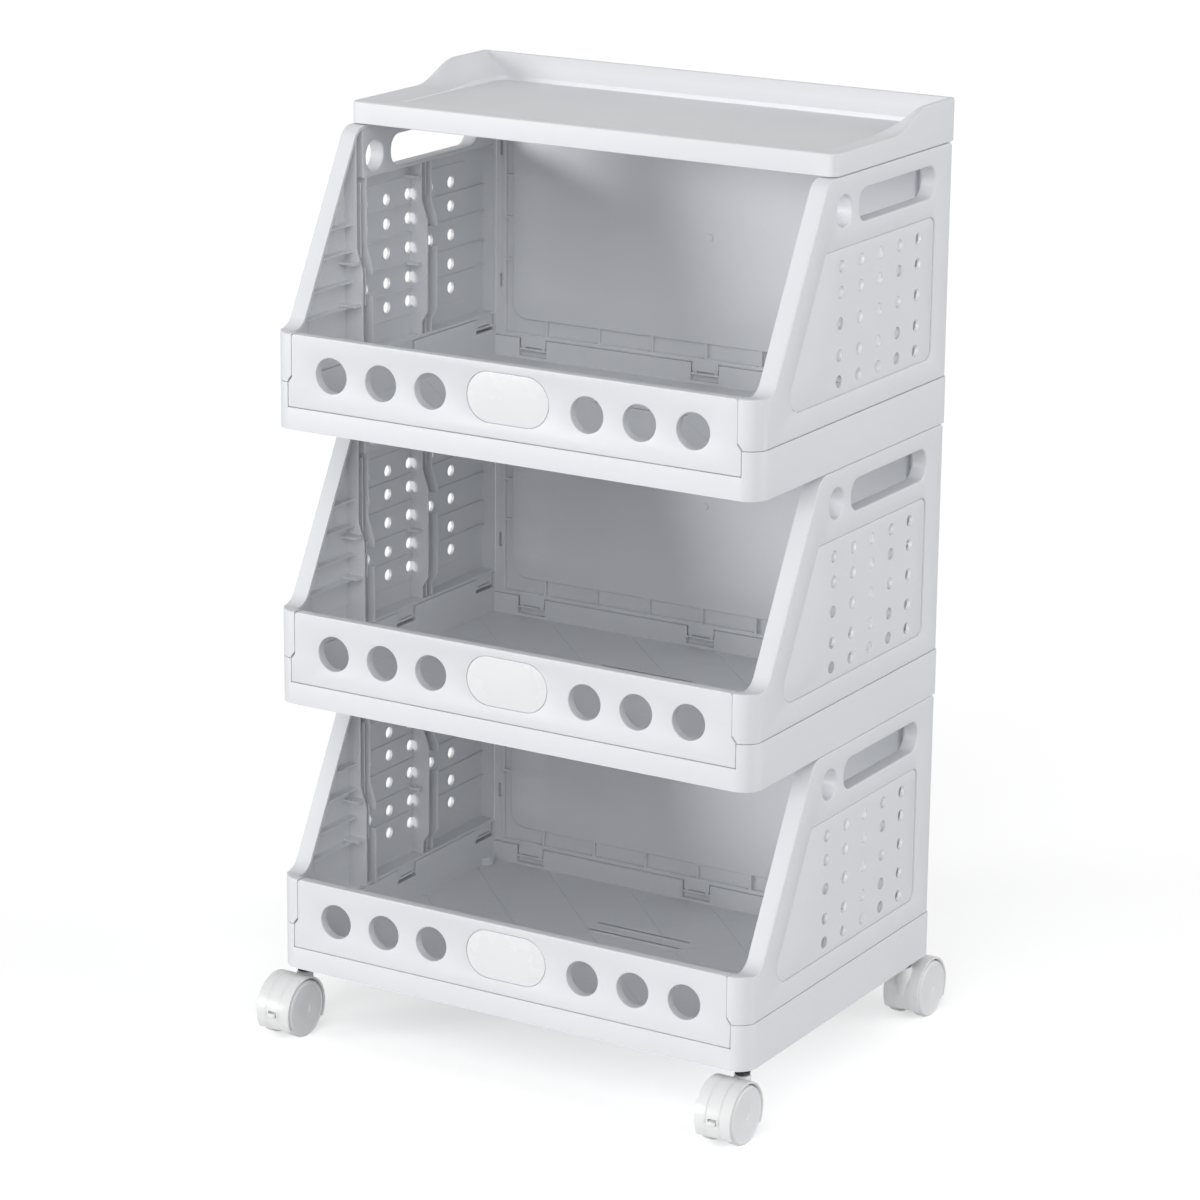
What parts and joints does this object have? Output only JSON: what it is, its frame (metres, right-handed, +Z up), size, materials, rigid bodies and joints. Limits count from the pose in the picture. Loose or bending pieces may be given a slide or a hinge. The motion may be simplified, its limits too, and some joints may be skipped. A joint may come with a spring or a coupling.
{
  "type": "rolling storage cart",
  "caption": "Rolling storage cart of stacked open-front crates with folding walls, handle slots, a rimmed top tray and swivel casters.",
  "frame": {"origin": "on the floor, in the middle of the footprint", "axes": "+Z up, +X to the cart's right seen from its front, -Y to the front"},
  "size_m": [0.432, 0.3612, 0.747],
  "materials": {
    "cart_plastic": "fine matte, pale grey white",
    "label_plastic": "smooth, slightly whiter",
    "caster_plastic": "smooth white",
    "wheel_plastic": "satin pale grey",
    "steel": "bright plated steel"
  },
  "bodies": {
    "lower_crate": {"lower_base_frame": "cart_plastic", "front_left_socket_sleeve": "wheel_plastic", "front_left_stem": "steel", "front_right_socket_sleeve": "wheel_plastic", "front_right_stem": "steel", "rear_left_socket_sleeve": "wheel_plastic", "rear_left_stem": "steel", "rear_right_socket_sleeve": "wheel_plastic", "rear_right_stem": "steel"},
    "lower_front": {"lower_front_panel": "cart_plastic", "lower_label_plate": "label_plastic"},
    "lower_left": {"lower_left_side_panel": "cart_plastic"},
    "lower_right": {"lower_right_side_panel": "cart_plastic"},
    "lower_back": {"lower_back_panel": "cart_plastic"},
    "middle_crate": {"middle_base_frame": "cart_plastic"},
    "middle_front": {"middle_front_panel": "cart_plastic", "middle_label_plate": "label_plastic"},
    "middle_left": {"middle_left_side_panel": "cart_plastic"},
    "middle_right": {"middle_right_side_panel": "cart_plastic"},
    "middle_back": {"middle_back_panel": "cart_plastic"},
    "upper_crate": {"upper_base_frame": "cart_plastic"},
    "upper_front": {"upper_front_panel": "cart_plastic", "upper_label_plate": "label_plastic"},
    "upper_left": {"upper_left_side_panel": "cart_plastic"},
    "upper_right": {"upper_right_side_panel": "cart_plastic"},
    "upper_back": {"upper_back_panel": "cart_plastic"},
    "tray": {"top_tray": "cart_plastic"},
    "front_left_swivel": {"front_left_hood": "caster_plastic"},
    "front_left_wheels": {"front_left_axle": "steel", "front_left_wheel_a": "wheel_plastic", "front_left_wheel_b": "wheel_plastic"},
    "front_left_brake": {"front_left_brake_lever": "caster_plastic"},
    "front_right_swivel": {"front_right_hood": "caster_plastic"},
    "front_right_wheels": {"front_right_axle": "steel", "front_right_wheel_a": "wheel_plastic", "front_right_wheel_b": "wheel_plastic"},
    "front_right_brake": {"front_right_brake_lever": "caster_plastic"},
    "rear_left_swivel": {"rear_left_hood": "caster_plastic"},
    "rear_left_wheels": {"rear_left_axle": "steel", "rear_left_wheel_a": "wheel_plastic", "rear_left_wheel_b": "wheel_plastic"},
    "rear_left_brake": {"rear_left_brake_lever": "caster_plastic"},
    "rear_right_swivel": {"rear_right_hood": "caster_plastic"},
    "rear_right_wheels": {"rear_right_axle": "steel", "rear_right_wheel_a": "wheel_plastic", "rear_right_wheel_b": "wheel_plastic"},
    "rear_right_brake": {"rear_right_brake_lever": "caster_plastic"}
  },
  "joints": [
    {"name": "lower_front_fold", "type": "hinge", "parent": "lower_crate", "child": "lower_front", "pos_m": [0, -0.1445, 0.074], "axis": [-1, 0, 0], "range_deg": [0, 90]},
    {"name": "lower_back_fold", "type": "hinge", "parent": "lower_crate", "child": "lower_back", "pos_m": [0, 0.1466, 0.0645], "axis": [1, 0, 0], "range_deg": [0, 90]},
    {"name": "lower_left_fold", "type": "hinge", "parent": "lower_crate", "child": "lower_left", "pos_m": [-0.2005, 0, 0.0818], "axis": [0, 1, 0], "range_deg": [0, 90]},
    {"name": "lower_right_fold", "type": "hinge", "parent": "lower_crate", "child": "lower_right", "pos_m": [0.2005, 0, 0.0818], "axis": [0, -1, 0], "range_deg": [0, 90]},
    {"name": "middle_crate_lift", "type": "slide", "parent": "lower_crate", "child": "middle_crate", "axis": [0, 0, 1], "range_m": [0, 0.04]},
    {"name": "middle_front_fold", "type": "hinge", "parent": "middle_crate", "child": "middle_front", "pos_m": [0, -0.1445, 0.294], "axis": [-1, 0, 0], "range_deg": [0, 90]},
    {"name": "middle_back_fold", "type": "hinge", "parent": "middle_crate", "child": "middle_back", "pos_m": [0, 0.1466, 0.2845], "axis": [1, 0, 0], "range_deg": [0, 90]},
    {"name": "middle_left_fold", "type": "hinge", "parent": "middle_crate", "child": "middle_left", "pos_m": [-0.2005, 0, 0.3018], "axis": [0, 1, 0], "range_deg": [0, 90]},
    {"name": "middle_right_fold", "type": "hinge", "parent": "middle_crate", "child": "middle_right", "pos_m": [0.2005, 0, 0.3018], "axis": [0, -1, 0], "range_deg": [0, 90]},
    {"name": "upper_crate_lift", "type": "slide", "parent": "middle_crate", "child": "upper_crate", "axis": [0, 0, 1], "range_m": [0, 0.04]},
    {"name": "upper_front_fold", "type": "hinge", "parent": "upper_crate", "child": "upper_front", "pos_m": [0, -0.1445, 0.514], "axis": [-1, 0, 0], "range_deg": [0, 90]},
    {"name": "upper_back_fold", "type": "hinge", "parent": "upper_crate", "child": "upper_back", "pos_m": [0, 0.1466, 0.5045], "axis": [1, 0, 0], "range_deg": [0, 90]},
    {"name": "upper_left_fold", "type": "hinge", "parent": "upper_crate", "child": "upper_left", "pos_m": [-0.2005, 0, 0.5218], "axis": [0, 1, 0], "range_deg": [0, 90]},
    {"name": "upper_right_fold", "type": "hinge", "parent": "upper_crate", "child": "upper_right", "pos_m": [0.2005, 0, 0.5218], "axis": [0, -1, 0], "range_deg": [0, 90]},
    {"name": "tray_lift", "type": "slide", "parent": "upper_crate", "child": "tray", "axis": [0, 0, 1], "range_m": [0, 0.04]},
    {"name": "front_left_caster_turn", "type": "hinge", "parent": "lower_crate", "child": "front_left_swivel", "pos_m": [-0.2, -0.133, 0.03], "axis": [0, 0, 1], "continuous": true},
    {"name": "front_left_wheel_roll", "type": "hinge", "parent": "front_left_swivel", "child": "front_left_wheels", "pos_m": [-0.2, -0.153, 0.023], "axis": [1, 0, 0], "continuous": true},
    {"name": "front_left_brake_press", "type": "hinge", "parent": "front_left_swivel", "child": "front_left_brake", "pos_m": [-0.2, -0.173, 0.023], "axis": [1, 0, 0], "range_deg": [0, 15]},
    {"name": "front_right_caster_turn", "type": "hinge", "parent": "lower_crate", "child": "front_right_swivel", "pos_m": [0.2, -0.133, 0.03], "axis": [0, 0, 1], "continuous": true},
    {"name": "front_right_wheel_roll", "type": "hinge", "parent": "front_right_swivel", "child": "front_right_wheels", "pos_m": [0.2, -0.153, 0.023], "axis": [1, 0, 0], "continuous": true},
    {"name": "front_right_brake_press", "type": "hinge", "parent": "front_right_swivel", "child": "front_right_brake", "pos_m": [0.2, -0.173, 0.023], "axis": [1, 0, 0], "range_deg": [0, 15]},
    {"name": "rear_left_caster_turn", "type": "hinge", "parent": "lower_crate", "child": "rear_left_swivel", "pos_m": [-0.2, 0.133, 0.03], "axis": [0, 0, 1], "continuous": true},
    {"name": "rear_left_wheel_roll", "type": "hinge", "parent": "rear_left_swivel", "child": "rear_left_wheels", "pos_m": [-0.2, 0.153, 0.023], "axis": [1, 0, 0], "continuous": true},
    {"name": "rear_left_brake_press", "type": "hinge", "parent": "rear_left_swivel", "child": "rear_left_brake", "pos_m": [-0.2, 0.173, 0.023], "axis": [-1, 0, 0], "range_deg": [0, 15]},
    {"name": "rear_right_caster_turn", "type": "hinge", "parent": "lower_crate", "child": "rear_right_swivel", "pos_m": [0.2, 0.133, 0.03], "axis": [0, 0, 1], "continuous": true},
    {"name": "rear_right_wheel_roll", "type": "hinge", "parent": "rear_right_swivel", "child": "rear_right_wheels", "pos_m": [0.2, 0.153, 0.023], "axis": [1, 0, 0], "continuous": true},
    {"name": "rear_right_brake_press", "type": "hinge", "parent": "rear_right_swivel", "child": "rear_right_brake", "pos_m": [0.2, 0.173, 0.023], "axis": [-1, 0, 0], "range_deg": [0, 15]}
  ]
}
